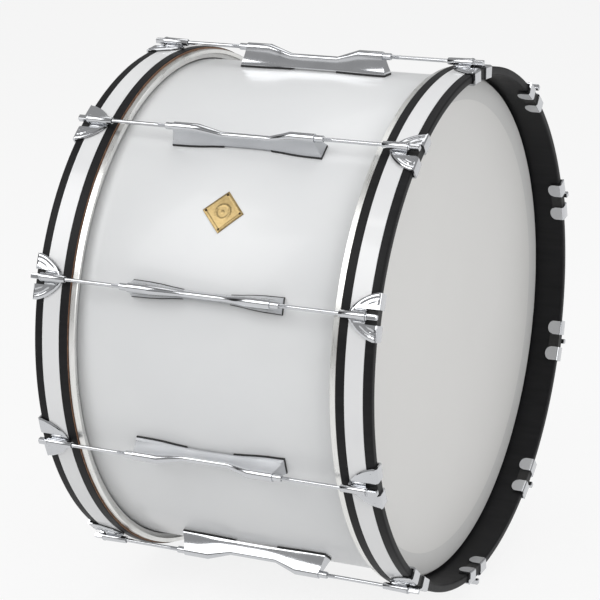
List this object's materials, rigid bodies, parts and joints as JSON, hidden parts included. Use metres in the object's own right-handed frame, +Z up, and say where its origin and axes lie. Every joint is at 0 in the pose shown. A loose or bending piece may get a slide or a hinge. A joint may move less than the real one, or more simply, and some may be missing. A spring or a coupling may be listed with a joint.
{
  "type": "marching bass drum",
  "caption": "Large double-headed marching bass drum: white shell, bridge lugs, key rods, claws and striped wood hoops that draw both heads tight.",
  "frame": {"origin": "centre of the drum, on its axis half way between the heads", "axes": "+X along the drum's axis towards the head on the right, +Z up through the first lug"},
  "size_m": [0.4392, 0.64, 0.668],
  "materials": {
    "white_wrap": "glossy white drum wrap",
    "black_lacquer": "satin black lacquer on maple",
    "white_inlay": "glossy white strip",
    "aluminium": "drawn aluminium, satin",
    "head_film": "coated smooth white polyester film",
    "chrome": "polished chrome plate",
    "brass": "etched brass"
  },
  "bodies": {
    "shell_assembly": {"shell": "white_wrap", "lug_01": "chrome", "lug_02": "chrome", "lug_03": "chrome", "lug_04": "chrome", "lug_05": "chrome", "lug_06": "chrome", "lug_07": "chrome", "lug_08": "chrome", "lug_09": "chrome", "lug_10": "chrome", "badge": "brass"},
    "hoop_assembly_right": {"wood_hoop_right": "black_lacquer", "hoop_inlay_right": "white_inlay", "flesh_hoop_right": "aluminium", "drumhead_right": "head_film", "claw_right_01": "chrome", "claw_right_02": "chrome", "claw_right_03": "chrome", "claw_right_04": "chrome", "claw_right_05": "chrome", "claw_right_06": "chrome", "claw_right_07": "chrome", "claw_right_08": "chrome", "claw_right_09": "chrome", "claw_right_10": "chrome"},
    "rod_right_01": {"tension_rod_right_01": "chrome"},
    "rod_right_02": {"tension_rod_right_02": "chrome"},
    "rod_right_03": {"tension_rod_right_03": "chrome"},
    "rod_right_04": {"tension_rod_right_04": "chrome"},
    "rod_right_05": {"tension_rod_right_05": "chrome"},
    "rod_right_06": {"tension_rod_right_06": "chrome"},
    "rod_right_07": {"tension_rod_right_07": "chrome"},
    "rod_right_08": {"tension_rod_right_08": "chrome"},
    "rod_right_09": {"tension_rod_right_09": "chrome"},
    "rod_right_10": {"tension_rod_right_10": "chrome"},
    "hoop_assembly_left": {"wood_hoop_left": "black_lacquer", "hoop_inlay_left": "white_inlay", "flesh_hoop_left": "aluminium", "drumhead_left": "head_film", "claw_left_01": "chrome", "claw_left_02": "chrome", "claw_left_03": "chrome", "claw_left_04": "chrome", "claw_left_05": "chrome", "claw_left_06": "chrome", "claw_left_07": "chrome", "claw_left_08": "chrome", "claw_left_09": "chrome", "claw_left_10": "chrome"},
    "rod_left_01": {"tension_rod_left_01": "chrome"},
    "rod_left_02": {"tension_rod_left_02": "chrome"},
    "rod_left_03": {"tension_rod_left_03": "chrome"},
    "rod_left_04": {"tension_rod_left_04": "chrome"},
    "rod_left_05": {"tension_rod_left_05": "chrome"},
    "rod_left_06": {"tension_rod_left_06": "chrome"},
    "rod_left_07": {"tension_rod_left_07": "chrome"},
    "rod_left_08": {"tension_rod_left_08": "chrome"},
    "rod_left_09": {"tension_rod_left_09": "chrome"},
    "rod_left_10": {"tension_rod_left_10": "chrome"}
  },
  "joints": [
    {"name": "hoop_slide_right", "type": "slide", "parent": "shell_assembly", "child": "hoop_assembly_right", "axis": [1, 0, 0], "range_m": [0, 0.01]},
    {"name": "rod_turn_right_01", "type": "hinge", "parent": "hoop_assembly_right", "child": "rod_right_01", "pos_m": [0.2079, 0, 0.3284], "axis": [-1, 0, 0], "range_deg": [0, 3402.6]},
    {"name": "rod_turn_right_02", "type": "hinge", "parent": "hoop_assembly_right", "child": "rod_right_02", "pos_m": [0.2079, -0.19303, 0.26568], "axis": [-1, 0, 0], "range_deg": [0, 3402.6]},
    {"name": "rod_turn_right_03", "type": "hinge", "parent": "hoop_assembly_right", "child": "rod_right_03", "pos_m": [0.2079, -0.31233, 0.10148], "axis": [-1, 0, 0], "range_deg": [0, 3402.6]},
    {"name": "rod_turn_right_04", "type": "hinge", "parent": "hoop_assembly_right", "child": "rod_right_04", "pos_m": [0.2079, -0.31233, -0.10148], "axis": [-1, 0, 0], "range_deg": [0, 3402.6]},
    {"name": "rod_turn_right_05", "type": "hinge", "parent": "hoop_assembly_right", "child": "rod_right_05", "pos_m": [0.2079, -0.19303, -0.26568], "axis": [-1, 0, 0], "range_deg": [0, 3402.6]},
    {"name": "rod_turn_right_06", "type": "hinge", "parent": "hoop_assembly_right", "child": "rod_right_06", "pos_m": [0.2079, 0, -0.3284], "axis": [-1, 0, 0], "range_deg": [0, 3402.6]},
    {"name": "rod_turn_right_07", "type": "hinge", "parent": "hoop_assembly_right", "child": "rod_right_07", "pos_m": [0.2079, 0.19303, -0.26568], "axis": [-1, 0, 0], "range_deg": [0, 3402.6]},
    {"name": "rod_turn_right_08", "type": "hinge", "parent": "hoop_assembly_right", "child": "rod_right_08", "pos_m": [0.2079, 0.31233, -0.10148], "axis": [-1, 0, 0], "range_deg": [0, 3402.6]},
    {"name": "rod_turn_right_09", "type": "hinge", "parent": "hoop_assembly_right", "child": "rod_right_09", "pos_m": [0.2079, 0.31233, 0.10148], "axis": [-1, 0, 0], "range_deg": [0, 3402.6]},
    {"name": "rod_turn_right_10", "type": "hinge", "parent": "hoop_assembly_right", "child": "rod_right_10", "pos_m": [0.2079, 0.19303, 0.26568], "axis": [-1, 0, 0], "range_deg": [0, 3402.6]},
    {"name": "hoop_slide_left", "type": "slide", "parent": "shell_assembly", "child": "hoop_assembly_left", "axis": [-1, 0, 0], "range_m": [0, 0.01]},
    {"name": "rod_turn_left_01", "type": "hinge", "parent": "hoop_assembly_left", "child": "rod_left_01", "pos_m": [-0.2079, 0, 0.3284], "axis": [1, 0, 0], "range_deg": [0, 3402.6]},
    {"name": "rod_turn_left_02", "type": "hinge", "parent": "hoop_assembly_left", "child": "rod_left_02", "pos_m": [-0.2079, -0.19303, 0.26568], "axis": [1, 0, 0], "range_deg": [0, 3402.6]},
    {"name": "rod_turn_left_03", "type": "hinge", "parent": "hoop_assembly_left", "child": "rod_left_03", "pos_m": [-0.2079, -0.31233, 0.10148], "axis": [1, 0, 0], "range_deg": [0, 3402.6]},
    {"name": "rod_turn_left_04", "type": "hinge", "parent": "hoop_assembly_left", "child": "rod_left_04", "pos_m": [-0.2079, -0.31233, -0.10148], "axis": [1, 0, 0], "range_deg": [0, 3402.6]},
    {"name": "rod_turn_left_05", "type": "hinge", "parent": "hoop_assembly_left", "child": "rod_left_05", "pos_m": [-0.2079, -0.19303, -0.26568], "axis": [1, 0, 0], "range_deg": [0, 3402.6]},
    {"name": "rod_turn_left_06", "type": "hinge", "parent": "hoop_assembly_left", "child": "rod_left_06", "pos_m": [-0.2079, 0, -0.3284], "axis": [1, 0, 0], "range_deg": [0, 3402.6]},
    {"name": "rod_turn_left_07", "type": "hinge", "parent": "hoop_assembly_left", "child": "rod_left_07", "pos_m": [-0.2079, 0.19303, -0.26568], "axis": [1, 0, 0], "range_deg": [0, 3402.6]},
    {"name": "rod_turn_left_08", "type": "hinge", "parent": "hoop_assembly_left", "child": "rod_left_08", "pos_m": [-0.2079, 0.31233, -0.10148], "axis": [1, 0, 0], "range_deg": [0, 3402.6]},
    {"name": "rod_turn_left_09", "type": "hinge", "parent": "hoop_assembly_left", "child": "rod_left_09", "pos_m": [-0.2079, 0.31233, 0.10148], "axis": [1, 0, 0], "range_deg": [0, 3402.6]},
    {"name": "rod_turn_left_10", "type": "hinge", "parent": "hoop_assembly_left", "child": "rod_left_10", "pos_m": [-0.2079, 0.19303, 0.26568], "axis": [1, 0, 0], "range_deg": [0, 3402.6]}
  ],
  "couplings": [
    {"joint": "rod_turn_right_01", "follows": "hoop_slide_right", "rad_per_m": 5936.9},
    {"joint": "rod_turn_right_02", "follows": "hoop_slide_right", "rad_per_m": 5936.9},
    {"joint": "rod_turn_right_03", "follows": "hoop_slide_right", "rad_per_m": 5936.9},
    {"joint": "rod_turn_right_04", "follows": "hoop_slide_right", "rad_per_m": 5936.9},
    {"joint": "rod_turn_right_05", "follows": "hoop_slide_right", "rad_per_m": 5936.9},
    {"joint": "rod_turn_right_06", "follows": "hoop_slide_right", "rad_per_m": 5936.9},
    {"joint": "rod_turn_right_07", "follows": "hoop_slide_right", "rad_per_m": 5936.9},
    {"joint": "rod_turn_right_08", "follows": "hoop_slide_right", "rad_per_m": 5936.9},
    {"joint": "rod_turn_right_09", "follows": "hoop_slide_right", "rad_per_m": 5936.9},
    {"joint": "rod_turn_right_10", "follows": "hoop_slide_right", "rad_per_m": 5936.9},
    {"joint": "rod_turn_left_01", "follows": "hoop_slide_left", "rad_per_m": 5936.9},
    {"joint": "rod_turn_left_02", "follows": "hoop_slide_left", "rad_per_m": 5936.9},
    {"joint": "rod_turn_left_03", "follows": "hoop_slide_left", "rad_per_m": 5936.9},
    {"joint": "rod_turn_left_04", "follows": "hoop_slide_left", "rad_per_m": 5936.9},
    {"joint": "rod_turn_left_05", "follows": "hoop_slide_left", "rad_per_m": 5936.9},
    {"joint": "rod_turn_left_06", "follows": "hoop_slide_left", "rad_per_m": 5936.9},
    {"joint": "rod_turn_left_07", "follows": "hoop_slide_left", "rad_per_m": 5936.9},
    {"joint": "rod_turn_left_08", "follows": "hoop_slide_left", "rad_per_m": 5936.9},
    {"joint": "rod_turn_left_09", "follows": "hoop_slide_left", "rad_per_m": 5936.9},
    {"joint": "rod_turn_left_10", "follows": "hoop_slide_left", "rad_per_m": 5936.9}
  ]
}
